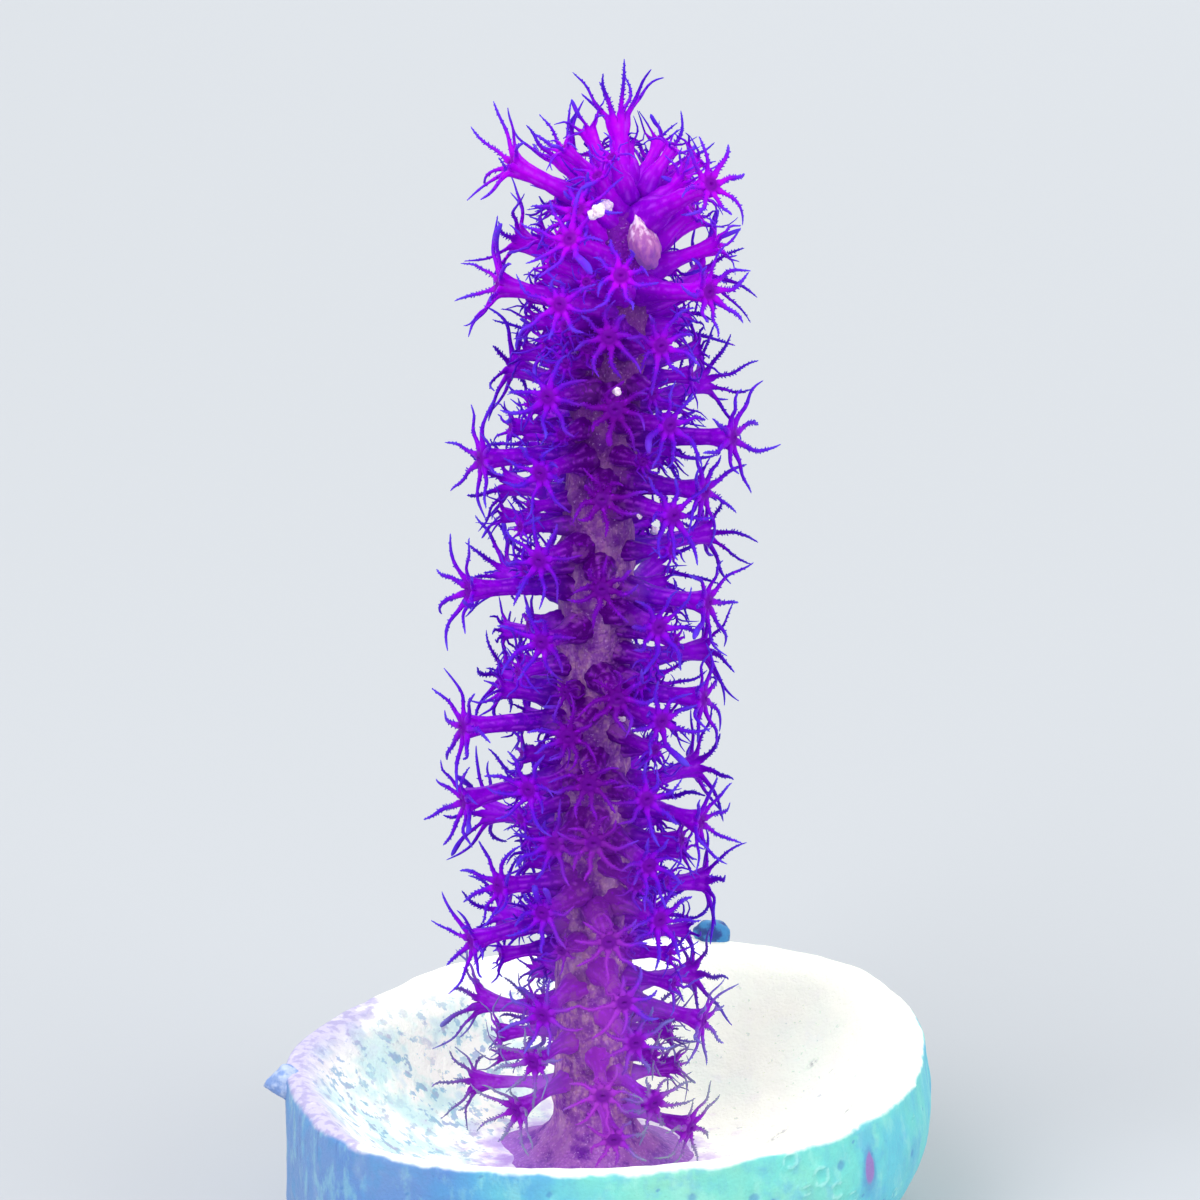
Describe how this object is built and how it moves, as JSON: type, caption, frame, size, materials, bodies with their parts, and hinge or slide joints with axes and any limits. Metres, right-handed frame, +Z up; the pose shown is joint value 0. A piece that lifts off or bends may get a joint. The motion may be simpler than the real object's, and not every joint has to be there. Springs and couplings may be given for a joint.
{
  "type": "echinogorgia gorgonian frag on a ceramic plug",
  "caption": "Unbranched violet gorgonian with spreading eight-armed polyps, standing in a shallow pale ceramic plug with a flat underside.",
  "frame": {"origin": "centre of the plug's flat underside", "axes": "+Z up along the colony, -Y towards the side that the picture shows, +X to the right in the picture"},
  "size_m": [0.031, 0.0304, 0.0559],
  "materials": {
    "plug_ceramic": "matt unglazed ceramic, white inside with mottled algae, turquoise to blue down the side",
    "coral_tissue": "soft moist tissue, magenta-violet columns and blue-violet tentacles on a mauve-tan grainy rind"
  },
  "bodies": {
    "root": {"frag_plug": "plug_ceramic", "gorgonian_branch": "coral_tissue"}
  },
  "joints": []
}
